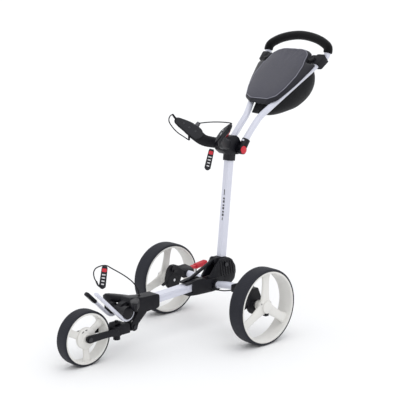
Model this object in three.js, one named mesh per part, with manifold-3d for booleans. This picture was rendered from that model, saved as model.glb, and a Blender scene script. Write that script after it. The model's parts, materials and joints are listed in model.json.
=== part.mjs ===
// Golf push trolley: three wheels, a folding upright, a folding handle and two bag brackets.
// Millimetres. +X points forwards, +Y to the left and +Z up.
// Everything is drawn from the rear axle: x = 0 on it, y = 0 midway, z = 0 on the ground.
// The last lines move the finished group so that its origin is the middle of its footprint.
import * as THREE from 'three';
import { mergeVertices } from 'three/addons/utils/BufferGeometryUtils.js';
import Module from 'manifold-3d';

// ---------- driving dimensions ----------
const GAP = 0.3;                 // space left between touching pieces
const WHEELBASE = 626;
const REAR = { radius: 145, width: 66.7, lip: 136, seat: 132, centreY: 270.5, sides: 32 };
const FRONT = { radius: 100.5, width: 52.5, lip: 92.5, seat: 89, centreY: 0, sides: 28 };

const BEAM = { width: 38, height: 28, wall: 2.4, rear: 104, front: 334, rearZ: 186.7, slope: 3.08 };
const CROSS_TUBE = { radius: 14, bore: 11.5, endY: 150, middleZ: 176, endZ: 188.5 };
const WHEEL_FOLD = { y: 195, z: 192 };            // fore-and-aft axis of each rear wheel's fold
const FORK_PIVOT = { x: 412, z: 96 };
const STEER_X = 478;                              // upright axis of the tracking adjuster
const BAG_BAR = { y: 42, width: 20, thick: 11, bossX: 466, bossZ: 168, tipX: 600, tipZ: 262 };

const UPRIGHT = { pivotX: -48, pivotZ: 250, lean: 5.92, depth: 32, width: 28, wall: 2.2 };
const BRACE = { topP: 41, topQ: 18, length: 148.6, drop: 29.7, thick: 9.5 };
const HANDLE_PIVOT = { p: -27.7, q: 450.3 };      // in the upright's own frame
const HANDLE_TUBE = { radius: 12.5, bore: 10.5 };
const GRIP = { outer: 18, inner: 13.8 };
const HANDLE_BEND = { x: -217, y: 36, z: 810 };   // where the two tubes start to spread
const HANDLE_SLOPE = 42.43;                       // the console's plane, down towards the front
const KNOB = { s: 305, y: 121, radius: 12.5 };    // s is the distance up that slope from the bend

// ---------- materials ----------
function paint(colour, roughness, metalness = 0) {
  return new THREE.MeshStandardMaterial({ color: colour, roughness, metalness });
}
const WHITE_PAINT = paint(0xf2f2f4, 0.35, 0.1);
const WHITE_PLASTIC = paint(0xf3f2ee, 0.4);
const BLACK_PLASTIC = paint(0x1b1b1f, 0.55);
const TYRE_RUBBER = paint(0x2a2a2e, 0.8);
const RED_PLASTIC = paint(0xd8232f, 0.4);
const STEEL = paint(0xb5b7ba, 0.3, 0.9);
const FOAM = paint(0x141416, 0.95);
const CONSOLE_GREY = paint(0x43434d, 0.6);
const NET_BLACK = paint(0x0d0d0f, 0.95);
const CORD_BLACK = paint(0x101012, 0.8);

// ---------- solids ----------
const wasm = await Module();
wasm.setup();

function toSolid(geometry) {
  const bare = new THREE.BufferGeometry();
  bare.setAttribute('position', geometry.getAttribute('position').clone());
  if (geometry.index) bare.setIndex(geometry.index.clone());
  const merged = mergeVertices(bare, 1e-4);
  const corners = merged.index.array;
  const kept = [];
  for (let i = 0; i < corners.length; i += 3) {
    const [a, b, c] = [corners[i], corners[i + 1], corners[i + 2]];
    if (a !== b && b !== c && c !== a) kept.push(a, b, c);
  }
  const vertProperties = Float32Array.from(merged.getAttribute('position').array);
  return new wasm.Manifold(new wasm.Mesh({ numProp: 3, vertProperties, triVerts: Uint32Array.from(kept) }));
}

function toGeometry(solid) {
  const mesh = solid.getMesh();
  const indexed = new THREE.BufferGeometry();
  indexed.setAttribute('position', new THREE.BufferAttribute(mesh.vertProperties, 3));
  indexed.setIndex(new THREE.BufferAttribute(mesh.triVerts, 1));
  const flat = indexed.toNonIndexed();
  flat.computeVertexNormals();
  return flat;
}

function join(...solids) {
  return solids.reduce((whole, next) => whole.add(next));
}

function cut(solid, ...tools) {
  return tools.reduce((rest, tool) => rest.subtract(tool), solid);
}

/** A closed outline through [u, v] points, each corner rounded off by up to radius. */
function outline(points, radius = 0) {
  const shape = new THREE.Shape();
  const corners = points.map(([u, v]) => new THREE.Vector2(u, v));
  corners.forEach((corner, i) => {
    const before = corners[(i + corners.length - 1) % corners.length];
    const after = corners[(i + 1) % corners.length];
    const near = (other) => {
      const reach = Math.min(radius, corner.distanceTo(other) * 0.45);
      return corner.clone().add(other.clone().sub(corner).setLength(reach));
    };
    const start = radius > 0 ? near(before) : corner;
    if (i === 0) shape.moveTo(start.x, start.y);
    else shape.lineTo(start.x, start.y);
    if (radius > 0) {
      const end = near(after);
      shape.quadraticCurveTo(corner.x, corner.y, end.x, end.y);
    }
  });
  shape.closePath();
  return shape;
}

const CORNER_STEPS = 2;

function box2(u0, u1, v0, v1) {
  return [[u0, v0], [u1, v0], [u1, v1], [u0, v1]];
}

function roundedBox(width, height, radius) {
  return outline(box2(-width / 2, width / 2, -height / 2, height / 2), radius);
}

function extruded(shape, depth, segments) {
  return new THREE.ExtrudeGeometry(shape, { depth, bevelEnabled: false, curveSegments: segments });
}

/** An (x, z) outline given thickness from y0 to y1. */
function sideSlab(points, y0, y1, radius = 0) {
  const geometry = extruded(outline(points, radius), y1 - y0, CORNER_STEPS);
  geometry.rotateX(Math.PI / 2);
  geometry.translate(0, y1, 0);
  return toSolid(geometry);
}

/** A (y, z) outline given thickness from x0 to x1. */
function frontSlab(points, x0, x1, radius = 0) {
  const geometry = extruded(outline(points, radius), x1 - x0, CORNER_STEPS);
  geometry.rotateX(Math.PI / 2);
  geometry.rotateZ(Math.PI / 2);
  geometry.translate(x0, 0, 0);
  return toSolid(geometry);
}

/** An (x, y) outline given thickness from z0 to z1. */
function topSlab(points, z0, z1, radius = 0) {
  const geometry = extruded(outline(points, radius), z1 - z0, CORNER_STEPS);
  geometry.translate(0, 0, z0);
  return toSolid(geometry);
}

/** A round bar from one point to another. */
function rod(radius, from, to, sides = 16) {
  const a = new THREE.Vector3(...from);
  const b = new THREE.Vector3(...to);
  const geometry = new THREE.CylinderGeometry(radius, radius, a.distanceTo(b), sides);
  const turn = new THREE.Quaternion().setFromUnitVectors(
    new THREE.Vector3(0, 1, 0), b.clone().sub(a).normalize());
  geometry.applyQuaternion(turn);
  geometry.translate(...a.add(b).multiplyScalar(0.5).toArray());
  return toSolid(geometry);
}

/** A profile of [radius, height] points turned about the Y axis. */
function turned(profile, sides) {
  const points = profile.map(([radius, height]) => new THREE.Vector2(radius, height));
  return toSolid(new THREE.LatheGeometry([...points, points[0]], sides));
}

/** A ring about the Y axis: its inner and outer radius and the Y of both faces. */
function ring(inner, outer, y0, y1, sides = 16) {
  return turned([[inner, y0], [outer, y0], [outer, y1], [inner, y1]], sides);
}

/** A section carried along a curve. */
function swept(section, curve, steps, segments = 1) {
  return toSolid(new THREE.ExtrudeGeometry(section, {
    steps, extrudePath: curve, bevelEnabled: false, curveSegments: segments }));
}

function polygon(radius, sides) {
  const turn = (Math.PI * 2) / sides;
  return Array.from({ length: sides }, (_, i) => [radius * Math.cos(i * turn), radius * Math.sin(i * turn)]);
}

/** A tube or, without a bore, a round bar along a curve. */
function tube(curve, radius, bore, steps, sides = 10) {
  const section = outline(polygon(radius, sides));
  if (bore > 0) section.holes.push(new THREE.Path(outline(polygon(bore, sides - 2)).getPoints()));
  return swept(section, curve, steps);
}

/** A smooth curve whose sections fall evenly between its points, so tight bends get more. */
class PointPacedCurve extends THREE.CatmullRomCurve3 {
  getPointAt(u, target) {
    return this.getPoint(u, target);
  }

  getTangentAt(u, target) {
    return this.getTangent(u, target);
  }
}

function smooth(points) {
  return new PointPacedCurve(points.map((p) => new THREE.Vector3(...p)), false, 'centripetal');
}

/** The same solid on the other side of the trolley. */
function mirrored(solid) {
  return solid.scale([1, -1, 1]);
}

// ---------- the assembly ----------
const trolley = new THREE.Group();

function addPart(name, solid, material, parent = trolley) {
  const mesh = new THREE.Mesh(toGeometry(solid), material);
  mesh.name = name;
  parent.add(mesh);
}

/** Adds NAME_left as drawn, for positive Y, and NAME_right as its mirror image. */
function addPair(name, solid, material, parent = trolley) {
  addPart(`${name}_left`, solid, material, parent);
  addPart(`${name}_right`, mirrored(solid), material, parent);
}

// ---------- wheels ----------
/** A wheel's ring: its facets are turned so that a flat, not an edge, meets the ground. */
function wheelRing(profile, size) {
  return turned(profile, size.sides).rotate([0, 180 / size.sides, 0]);
}

/** One spoke along +X, wider at both ends, with half widths at the hub, the middle and the rim. */
function spoke(hubRadius, rimRadius, { root, waist, tip, y0, y1 }) {
  const reach = rimRadius - hubRadius;
  const half = [
    [hubRadius - 6, root], [hubRadius + reach * 0.3, waist], [hubRadius + reach * 0.75, waist],
    [rimRadius, tip]];
  const plan = [...half.map(([x, z]) => [x, -z]), ...half.reverse()];
  return sideSlab(plan, y0, y1);
}

/** Rim, spokes and hub moulded in one. side is 1 where the outer face looks to +Y. */
function wheelRim(size, hub, spokes, side) {
  const half = size.width / 2;
  const barrel = size.seat - GAP;
  const shell = wheelRing([
    [barrel - 4, -half + 0.5], [size.lip, -half + 0.5], [size.lip, -half + 3.2], [barrel, -half + 4.2],
    [barrel, half - 4.2], [size.lip, half - 3.2], [size.lip, half - 0.5], [barrel - 4, half - 0.5]],
    size);
  let rim = join(shell, ring(hub.bore, hub.radius, hub.inner, hub.outer));
  for (const angle of spokes.angles) {
    const arm = spoke(hub.radius, barrel - 3.5, spokes);
    rim = rim.add(arm.rotate([0, -angle, 0]));
  }
  return side > 0 ? rim : mirrored(rim);
}

function wheelTyre(size) {
  const half = size.width / 2;
  const edge = size.lip + GAP;
  const tread = size.radius / Math.cos(Math.PI / size.sides);
  const profile = [
    [size.seat, -half + 4.6], [edge, -half + 3.4], [edge, -half], [tread - 3.5, -half + 1.5],
    [tread, -half + 10], [tread, half - 10], [tread - 3.5, half - 1.5],
    [edge, half], [edge, half - 3.4], [size.seat, half - 4.6]];
  return wheelRing(profile, size);
}

const REAR_HUB = { bore: 13.5, radius: 24, inner: -20, outer: 24 };
const REAR_SPOKES = { root: 20, waist: 15, tip: 20, y0: 6, y1: 18 };
const REAR_ANGLES = { left: [92, -28, -148], right: [100, -20, -140] };
const FRONT_SPOKES = { root: 15, waist: 11.5, tip: 17, y0: 0, y1: 12, angles: [26, 146, 266] };
const BUTTON = { radius: 29, half: 8, height: 10, inner: 8, outer: 27, travel: 3 };

/** The catch that frees a wheel from its axle, in a slot below the hub. */
function releaseButton(clearance, travel) {
  const reach = BUTTON.half + clearance;
  const low = -BUTTON.radius - BUTTON.height / 2 - clearance;
  return sideSlab(box2(-reach, reach, low, low + BUTTON.height + 2 * clearance),
    BUTTON.inner - travel - clearance, BUTTON.outer + clearance);
}

function addRearWheel(side) {
  const name = side > 0 ? 'left' : 'right';
  const wheel = new THREE.Group();
  wheel.position.set(0, side * REAR.centreY, REAR.radius);
  const spokes = { ...REAR_SPOKES, angles: REAR_ANGLES[name] };
  const catchHousing = sideSlab(box2(-13, 13, -41, -18), 1, 22, 3);
  const flip = (solid) => (side > 0 ? solid : mirrored(solid));
  let rim = wheelRim(REAR, REAR_HUB, spokes, 1).add(catchHousing);
  rim = rim.subtract(releaseButton(GAP, BUTTON.travel)).subtract(rod(REAR_HUB.bore, [0, -30, 0], [0, 30, 0], 16));
  addPart(`rear_rim_${name}`, flip(rim), WHITE_PLASTIC, wheel);
  addPart(`rear_tyre_${name}`, wheelTyre(REAR), TYRE_RUBBER, wheel);
  addPart(`hub_bearing_${name}`, flip(ring(6.4, REAR_HUB.bore - GAP, -19.5, 19.5)), STEEL, wheel);
  addPart(`hub_cap_${name}`, flip(hubCap()), WHITE_PLASTIC, wheel);
  addPart(`wheel_release_${name}`, flip(releaseButton(0, 0)), BLACK_PLASTIC, wheel);
  trolley.add(wheel);
}

/** A shallow cover over the end of the hub. */
function hubCap() {
  const y0 = REAR_HUB.outer + GAP;
  return toSolid(new THREE.LatheGeometry([
    new THREE.Vector2(0, y0), new THREE.Vector2(24, y0), new THREE.Vector2(24, y0 + 2),
    new THREE.Vector2(17, y0 + 6), new THREE.Vector2(0, y0 + 7.5)], 18));
}

function addFrontWheel() {
  const wheel = new THREE.Group();
  wheel.position.set(WHEELBASE, 0, FRONT.radius);
  const hub = { bore: 10, radius: 17, inner: -24, outer: 24 };
  const rim = wheelRim(FRONT, hub, FRONT_SPOKES, 1).subtract(rod(hub.bore, [0, -30, 0], [0, 30, 0], 16));
  addPart('front_rim', rim, WHITE_PLASTIC, wheel);
  addPart('front_tyre', wheelTyre(FRONT), TYRE_RUBBER, wheel);
  trolley.add(wheel);
}

// ---------- main beam, cross tube and the middle of the chassis ----------
/** The beam's section with a shallow groove along each side, grown by a margin. */
function beamSolid(margin, x0, x1, hollow) {
  const y = BEAM.width / 2 + margin;
  const z = BEAM.height / 2 + margin;
  const groove = margin > 0 ? 0 : 1.6;
  const section = [
    [-y, -z], [y, -z], [y, -4], [y - groove, -2.5], [y - groove, 2.5], [y, 4],
    [y, z], [-y, z], [-y, 4], [-y + groove, 2.5], [-y + groove, -2.5], [-y, -4]];
  let beam = frontSlab(section, x0, x1);
  if (hollow) {
    const inner = box2(-y + BEAM.wall + 1.6, y - BEAM.wall - 1.6, -z + BEAM.wall, z - BEAM.wall);
    beam = beam.subtract(frontSlab(inner, x0 - 1, x1 + 1));
  }
  return beam.translate([-BEAM.rear, 0, 0]).rotate([0, BEAM.slope, 0])
    .translate([BEAM.rear, 0, BEAM.rearZ]);
}

const crossCurve = smooth([
  [0, -CROSS_TUBE.endY, CROSS_TUBE.endZ], [0, -100, 187.5], [0, -60, 182.5],
  [0, -22, CROSS_TUBE.middleZ], [0, 22, CROSS_TUBE.middleZ], [0, 60, 182.5], [0, 100, 187.5],
  [0, CROSS_TUBE.endY, CROSS_TUBE.endZ]]);

const BRAKE_CABLE = 2.4;
/** In front of the cross tube on the left, through the housing, and behind it on the right. */
const brakeCurve = smooth([
  [20, 131, 180], [28, 96, 172], [29, 60, 168], [27, 30, 162], [20, 0, 157.5], [0, -36, 155.5],
  [-22, -62, 166], [-27, -100, 185], [-20, -131, 194]]);

function centralHousing() {
  const body = sideSlab([
    [-42, 158], [20, 153], [100, 155], [150, 159], [152, 207], [112, 214], [66, 216],
    [56, 205], [-42, 205]], -26, 26, 4);
  const jawGap = sideSlab(box2(124, 160, 168, 203.5), -30, 30);
  const braceSlot = sideSlab([[50, 208], [160, 203], [160, 230], [50, 230]], -8, 8);
  const boss = rod(21, [0, -34, 176.5], [0, 34, 176.5], 20);
  return cut(join(body, boss), jawGap, braceSlot, beamSolid(GAP, BEAM.rear - GAP, 200, false),
    tube(crossCurve, CROSS_TUBE.radius + 1, 0, 14), tube(brakeCurve, BRAKE_CABLE + 1, 0, 24, 6));
}

/** Two ribbed cheeks that hold the foot of the upright, joined behind and below it. */
function hingeBracket() {
  const cheek = [
    [36, 206], [34, 212], [-6, 262], [-16, 275], [-66, 275], [-84, 264], [-103, 236], [-106, 212],
    [-99, 184], [-84, 171], [-44, 171], [-43, 206]];
  const whole = sideSlab(cheek, -26, 26, 5);
  const slot = sideSlab([
    [70, 205.5], [-42, 205.5], [-80, 218], [-80, 262], [-76, 290], [70, 290]], -17, 17);
  let bracket = whole.subtract(slot);
  for (let i = 0; i < 6; i += 1) {
    const x = -95 + i * 13;
    const rib = sideSlab([[x, 206], [x + 3.5, 206], [x + 14, 262 + i], [x + 10.5, 262 + i]], -29, 29);
    bracket = bracket.add(rib.subtract(sideSlab(box2(-120, 80, 160, 300), -25, 25)));
  }
  return bracket.subtract(rod(5 + GAP, [UPRIGHT.pivotX, -40, UPRIGHT.pivotZ],
    [UPRIGHT.pivotX, 40, UPRIGHT.pivotZ]));
}

/** A bolt across the trolley: a shank with a wider head at each end. */
function crossBolt(x, z, halfGrip, radius) {
  const head = 4;
  return join(
    rod(radius, [x, -halfGrip - 1, z], [x, halfGrip + 1, z]),
    rod(radius * 1.7, [x, halfGrip + GAP, z], [x, halfGrip + GAP + head, z], 12),
    rod(radius * 1.7, [x, -halfGrip - GAP - head, z], [x, -halfGrip - GAP, z], 12));
}

// ---------- rear wheel mounts ----------
/** The black casting on the end of the cross tube. It carries the wheel's fold hinge. */
function armBracket() {
  const arch = frontSlab([
    [132, 175], [132, 203], [150, 211], [186, 215], [194, 211], [203, 201], [203, 184],
    [188, 180], [170, 178]], -26, 26, 4);
  const hingeGap = join(
    frontSlab(box2(183, 212, 172, 225), -13 - GAP, 13 + GAP),
    frontSlab([[186, 165], [215, 165], [215, 184]], -40, 40));
  const socket = rod(CROSS_TUBE.radius + 0.8, [0, 120, 188.3], [0, 151, 188.6], 16);
  return cut(arch, hingeGap, socket, foldBore());
}

function foldBore() {
  return rod(4.5 + GAP, [-60, WHEEL_FOLD.y, WHEEL_FOLD.z], [60, WHEEL_FOLD.y, WHEEL_FOLD.z]);
}

/** Brake drum, axle boss and the lug that the fold pin goes through, all one casting. */
function hubCarrier() {
  const drum = turned([[0, -18], [30, -18], [40, -10], [40, 0], [0, 0]], 20)
    .translate([0, 235.6, REAR.radius]);
  const shield = sideSlab([
    [-38, 150], [-24, 182], [-13, 207], [13, 207], [30, 190], [41, 150], [20, 112], [-20, 112]],
    219, 235.6, 6);
  const lug = frontSlab([
    [187, 185], [187, 199], [196, 204], [216, 206], [228, 190], [228, 170], [221, 170],
    [219, 181]], -13, 13, 3);
  const lever = sideSlab([[36, 150], [62, 134], [58, 129], [34, 136]], 222, 230, 2);
  const axleBore = rod(6.2, [0, 200, REAR.radius], [0, 250, REAR.radius]);
  return cut(join(drum, shield, lug, lever), axleBore, foldBore());
}

function rearAxle() {
  return join(
    rod(6, [0, 219, REAR.radius], [0, REAR.centreY + 21, REAR.radius]),
    rod(11, [0, 235.6 + GAP, REAR.radius], [0, 248, REAR.radius], 16));
}

/** A bent pedal arm with a ribbed pad, on the right-hand bracket only. */
function brakePedal() {
  const arm = sideSlab([
    [-42, 194], [-33, 194], [-33, 205], [-60, 208], [-118, 214], [-123, 208], [-118, 201],
    [-60, 196]], -173, -156, 4);
  return arm;
}

function brakeLug() {
  return sideSlab([[-25, 190], [-32, 190], [-32, 208], [-25, 210]], -176, -153);
}

// ---------- front bag bracket, bag bars and fork ----------
function frontHousing() {
  const body = sideSlab([
    [292, 150], [302, 145], [370, 142], [404, 152], [432, 172], [441, 192], [432, 209],
    [368, 200], [300, 199], [292, 194]], -24, 24, 5);
  const neck = sideSlab([
    [350, 146], [396, 150], [428, 105], [424, 84], [410, 80], [399, 88], [396, 104]], -24, 24, 5);
  const forkGap = sideSlab([[392, 122], [440, 128], [440, 60], [380, 60]], -15.5, 15.5);
  const spine = sideSlab([[426, 180], [436, 176], [470, 160], [474, 168], [462, 190], [438, 196]],
    -12, 12, 4);
  const wing = topSlab([[398, 18], [432, 18], [462, 74], [468, 92], [454, 92], [444, 78]], 182, 204, 4);
  const boreX = FORK_PIVOT.x;
  const bore = rod(4.5 + GAP, [boreX, -40, FORK_PIVOT.z], [boreX, 40, FORK_PIVOT.z]);
  const cordSlot = join(
    topSlab(box2(362, 378, -2.6, 2.6), 188, 210), topSlab(box2(367.4, 372.6, -8, 8), 188, 210));
  return cut(join(body, neck, spine, wing, mirrored(wing), bagBarBoss()), forkGap, bore, cordSlot,
    beamSolid(GAP, 200, BEAM.front + GAP, false));
}

/** The cross piece that both bag bars curl round. */
function bagBarBoss() {
  const inner = BAG_BAR.y - BAG_BAR.width / 2;
  const outer = BAG_BAR.y + BAG_BAR.width / 2;
  const profile = [
    [0, -outer - 3], [24, -outer - 3], [24, -outer - GAP], [21.5, -outer - GAP], [21.5, -inner + 2],
    [13, -inner + 4], [13, inner - 4], [21.5, inner - 2], [21.5, outer + GAP], [24, outer + GAP],
    [24, outer + 3], [0, outer + 3]];
  return turned(profile, 14).translate([BAG_BAR.bossX, 0, BAG_BAR.bossZ]);
}

/** A point up the straight leg of a bag bar, as a share of the leg. */
function legPoint(y, share) {
  const [startX, startZ] = [481.7, 145.6];
  return [startX + (BAG_BAR.tipX - startX) * share, y, startZ + (BAG_BAR.tipZ - startZ) * share];
}

/** A flat bar that curls under the boss and then climbs forwards, up to a share of its leg. */
function bagBar(y, end) {
  const radius = 21.5 + GAP + BAG_BAR.thick / 2;
  const points = [];
  for (let angle = 185; angle < 305; angle += 15) {
    const turn = THREE.MathUtils.degToRad(angle);
    points.push([BAG_BAR.bossX + radius * Math.cos(turn), y, BAG_BAR.bossZ + radius * Math.sin(turn)]);
  }
  points.push(legPoint(y, 0), legPoint(y, end / 2), legPoint(y, end));
  return swept(roundedBox(BAG_BAR.width, BAG_BAR.thick, 4), smooth(points), 14);
}

function bagBarCap() {
  const path = smooth([0.504, 0.66, 0.82].map((share) => legPoint(-BAG_BAR.y, share)));
  return swept(roundedBox(BAG_BAR.width + 3, BAG_BAR.thick + 3, 4), path, 3);
}

/** The block that folds on the fork pivot, with the upright bore of the tracking adjuster. */
function forkBlock() {
  const tongue = sideSlab([[400, 90], [404, 84], [420, 82], [440, 84], [440, 112], [418, 110],
    [402, 104]], -15, 15, 4);
  const block = sideSlab([[434, 80], [488, 80], [488, 114], [470, 118], [446, 118], [434, 110]],
    -24, 24, 4);
  return cut(join(tongue, block),
    rod(4.5 + GAP, [FORK_PIVOT.x, -40, FORK_PIVOT.z], [FORK_PIVOT.x, 40, FORK_PIVOT.z]),
    rod(4 + GAP, [STEER_X, 0, 60], [STEER_X, 0, 140]));
}

/** Two flat arms, the crown behind the wheel and the lugs above and below the block. */
function frontFork() {
  const armY = 31;
  const arm = sideSlab([
    [494, 88], [500, 112], [560, 114], [630, 114.5], [640, 106], [640, 94], [630, 87], [560, 91]],
    armY, armY + 8, 6);
  const crown = sideSlab([[493, 86], [508, 86], [512, 98], [508, 114], [493, 116]],
    -armY - 4, armY + 4, 3);
  const lugs = join(
    sideSlab([[466, 119.5], [492, 119.5], [498, 110], [509, 110], [502, 126], [466, 126]], -11, 11),
    sideSlab([[466, 72.5], [498, 72.5], [506, 92], [498, 94], [490, 77.5], [466, 77.5]], -11, 11));
  return cut(join(arm, mirrored(arm), crown, lugs),
    rod(4 + GAP, [STEER_X, 0, 60], [STEER_X, 0, 140]),
    sideSlab(box2(484, 490, 78, 119.5), -30, 30),
    rod(5 + GAP, [WHEELBASE, -60, FRONT.radius], [WHEELBASE, 60, FRONT.radius]));
}

/** The adjuster's screw runs up through the block and ends in a knob underneath. */
function trackingKnob() {
  return join(
    rod(4, [STEER_X, 0, 70], [STEER_X, 0, 127], 12),
    rod(13, [STEER_X, 0, 59], [STEER_X, 0, 71.8], 18),
    rod(7, [STEER_X, 0, 126.4], [STEER_X, 0, 130], 12));
}

// ---------- upright ----------
/** A group whose Z axis runs up the upright and whose origin is the fold pivot. */
const upright = new THREE.Group();
upright.position.set(UPRIGHT.pivotX, 0, UPRIGHT.pivotZ);
upright.rotation.y = THREE.MathUtils.degToRad(-UPRIGHT.lean);
trolley.add(upright);

function uprightTube(margin, z0, z1, hollow) {
  const section = roundedBox(UPRIGHT.depth + 2 * margin, UPRIGHT.width + 2 * margin, 8);
  if (hollow) {
    section.holes.push(new THREE.Path(roundedBox(UPRIGHT.depth - 2 * UPRIGHT.wall,
      UPRIGHT.width - 2 * UPRIGHT.wall, 6).getPoints(3)));
  }
  return toSolid(extruded(section, z1 - z0, 3)).translate([0, 0, z0]);
}

/** The block under the tube: the fold bore, and a forked nose for the brace. */
function uprightFoot() {
  const body = sideSlab([
    [-16, -16], [-8, -22], [10, -22], [20, -12], [48, 8], [50, 20], [42, 27], [28, 26],
    [20, 24], [16, 27.5], [-16, 27.5]], -15.5, 15.5, 4);
  const spigot = uprightTube(-UPRIGHT.wall - GAP, 20, 60, false);
  const noseGap = sideSlab([[24, 0], [64, 0], [64, 40], [24, 40]], -5.6, 5.6);
  return cut(join(body, spigot), noseGap, rod(5 + GAP, [0, -30, 0], [0, 30, 0]),
    rod(3 + GAP, [BRACE.topP, -30, BRACE.topQ], [BRACE.topP, 30, BRACE.topQ]));
}

/** The stay from the upright's foot down to the beam, with an eye and a pin at its top. */
function brace() {
  const half = BRACE.thick / 2;
  const end = BRACE.length;
  const bar = sideSlab([
    [-6, -6], [8, -half], [end - 8, -half], [end + 4, -half], [end + 4, half], [end - 8, half],
    [8, half], [-6, 6]], -5, 5, 3);
  return join(bar, rod(3, [0, -15, 0], [0, 15, 0], 12)).rotate([0, BRACE.drop, 0])
    .translate([BRACE.topP, 0, BRACE.topQ]);
}

const HOUSING_Y = 20.7;

function upperHousing() {
  const body = sideSlab([
    [-22, 430], [34, 430], [60, 446], [66, 462], [54, 484], [30, 500], [-8, 504], [-24, 496],
    [-44, 470], [-46, 440], [-36, 432]], -HOUSING_Y, HOUSING_Y, 5);
  const leverSlot = sideSlab([[0, 530], [70, 530], [70, 474], [44, 474], [20, 496], [0, 512]], -10, 10);
  const collar = uprightTube(4, 405, 440, false);
  return cut(join(body, collar), uprightTube(GAP, 400, 476, false), leverSlot,
    rod(5 + GAP, [HANDLE_PIVOT.p, -40, HANDLE_PIVOT.q], [HANDLE_PIVOT.p, 40, HANDLE_PIVOT.q]),
    rod(8.8, [48, -9.6, 476], [48, 9.6, 476]), rod(3 + GAP, [48, -40, 476], [48, 40, 476]));
}

/** One arm and pad of the V that the bag leans in. The pad faces along the bag. */
function bagWing() {
  const arm = topSlab([[36, HOUSING_Y + GAP], [60, HOUSING_Y + GAP], [128, 66], [112, 70]], 450, 492, 4);
  const pad = sideSlab([
    [-30, -8], [-28, 10], [4, 27], [70, 21], [103, 15], [105, -13], [76, -20], [0, -33], [-20, -26]],
    -5.5, 5.5, 6);
  return join(arm, orient(pad, [118, 62, 503], [0.37, 0.84, 0.41], [-0.52, 0, 0.85]));
}

/** Lays a solid's X axis along one direction and its Z axis as near as it can to another. */
function orient(solid, origin, xAxis, zAxis) {
  const x = new THREE.Vector3(...xAxis).normalize();
  const y = new THREE.Vector3(...zAxis).cross(x).normalize();
  const z = new THREE.Vector3().crossVectors(x, y);
  const m = new THREE.Matrix4().makeBasis(x, y, z).setPosition(...origin);
  return solid.transform(m.elements);
}

function releaseLever() {
  const bar = sideSlab([[42, 479], [50, 485], [22, 524], [10, 528], [12, 516]], -8, 8, 4);
  const root = rod(8, [48, -9, 476], [48, 9, 476]);
  return join(bar, root).subtract(rod(3 + GAP, [48, -40, 476], [48, 40, 476]));
}

// ---------- handle ----------
const handlePivot = new THREE.Vector3(HANDLE_PIVOT.p, 0, HANDLE_PIVOT.q)
  .applyAxisAngle(new THREE.Vector3(0, 1, 0), THREE.MathUtils.degToRad(-UPRIGHT.lean))
  .add(new THREE.Vector3(UPRIGHT.pivotX, 0, UPRIGHT.pivotZ));

const LOOP_BASE = { x: -473, y: 156, z: 1044 };
const LOOP_LEAN = THREE.MathUtils.degToRad(15);

/** A point of the grip loop: its height above the loop's base, and its Y. */
function loopPoint(up, y) {
  return [LOOP_BASE.x - up * Math.sin(LOOP_LEAN), y, LOOP_BASE.z + up * Math.cos(LOOP_LEAN)];
}

const rightSide = (points) => points.map(([x, y, z]) => [x, -y, z]).reverse();
const leftTube = [
  [-136, 35.5, 722], [-190, 35.6, 782], [-222, 38, 814], [-260, 54, 849], [-445, 143, 1018]];
const leftLoop = [
  loopPoint(-6, 153), loopPoint(12, 159), loopPoint(34, 155), loopPoint(56, 120),
  loopPoint(72, 66)];
const handleRoute = [
  ...leftTube, ...leftLoop, loopPoint(79, 0), ...rightSide(leftLoop), ...rightSide(leftTube)];
const HANDLE_PACE = 2;                            // sections to each stretch of the route
const GRIP_FROM = 6;                              // the stretch of the route where the foam starts
const handleCurve = smooth(handleRoute);
const handleSteps = (handleRoute.length - 1) * HANDLE_PACE;
const gripPoints = handleCurve.getPoints(handleSteps)
  .slice(GRIP_FROM * HANDLE_PACE, handleSteps + 1 - GRIP_FROM * HANDLE_PACE);
const gripCurve = smooth(gripPoints.map((point) => point.toArray()));

/** The space that the handle tube takes up in the parts that hold it. */
function handleClearance() {
  return tube(handleCurve, HANDLE_TUBE.radius + 0.6, 0, handleSteps);
}

/** The black end of each handle tube: a disc on the pivot and a socket for the tube. */
function handleYoke() {
  const [x, z] = [handlePivot.x, handlePivot.z];
  const eye = rod(18, [x, HOUSING_Y + 0.6, z], [x, 47, z], 24);
  const socket = rod(16.5, [x - 2, 36, z + 2], [-148, 35.5, 731], 16);
  const trim = sideSlab(box2(-220, -60, 640, 800), 0, HOUSING_Y + 0.6);
  return cut(join(eye, socket), trim,
    handleClearance(),
    rod(5 + GAP, [x, 0, z], [x, 60, z]), rod(9.2, [x, 37.5, z], [x, 60, z], 12),
    rod(15.5 + GAP, [x, 43, z], [x, 60, z], 24));
}

function pivotCap() {
  return rod(15.5, [handlePivot.x, 45.5, handlePivot.z], [handlePivot.x, 50, handlePivot.z], 24);
}

// ---------- console, in a frame whose X runs down the slope towards the front ----------
const consoleFrame = new THREE.Group();
consoleFrame.position.set(HANDLE_BEND.x, 0, HANDLE_BEND.z);
consoleFrame.rotation.y = THREE.MathUtils.degToRad(HANDLE_SLOPE);
trolley.add(consoleFrame);

/** Mirrors half an outline of [distance up the slope, y] points into a whole one. */
function slopeOutline(half) {
  const left = half.map(([s, y]) => [-s, y]);
  return [...left, ...left.map(([x, y]) => [x, -y]).reverse()];
}

function consoleLid() {
  const rim = [
    [64, 50], [84, 86], [141, 113], [191, 130], [256, 147], [284, 152], [284, 100], [334, 100],
    [349, 78], [356, 50]];
  const crown = [
    [74, 46], [92, 80], [135, 99], [203, 112], [262, 109], [288, 100], [320, 95], [340, 75],
    [350, 44]];
  const shrink = (points, by) => points.map(([s, y]) => [s > 200 ? s - by : s + by, y - by]);
  const base = topSlab(slopeOutline(rim), 14, 22, 8);
  const top = topSlab(slopeOutline(crown), 21.9, 30, 8);
  const hollow = topSlab(slopeOutline(shrink(rim, 3)), 13, 19.5, 6);
  return cut(join(base, top), hollow);
}

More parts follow.
